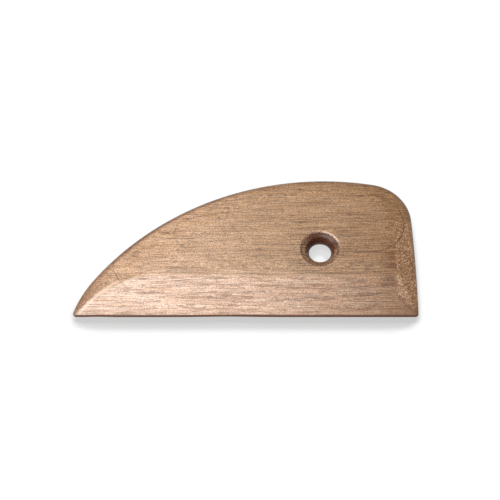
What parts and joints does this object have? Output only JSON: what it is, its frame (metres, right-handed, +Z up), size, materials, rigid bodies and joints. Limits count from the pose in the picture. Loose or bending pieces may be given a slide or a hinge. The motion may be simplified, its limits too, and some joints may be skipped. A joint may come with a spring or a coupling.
{
  "type": "pottery rib",
  "caption": "Flat hardwood throwing rib with a straight bevelled working edge, a curved back, a square end and a waisted finger hole.",
  "frame": {"origin": "middle of the bounding box on the face that the rib lies on", "axes": "+X along the length from the pointed tip to the square end, +Y from the working edge to the curved back, +Z up through the thickness"},
  "size_m": [0.1396, 0.0635, 0.0079],
  "materials": {
    "hardwood": "sanded smooth, unvarnished, satin"
  },
  "bodies": {
    "root": {"rib_blade": "hardwood"}
  },
  "joints": []
}
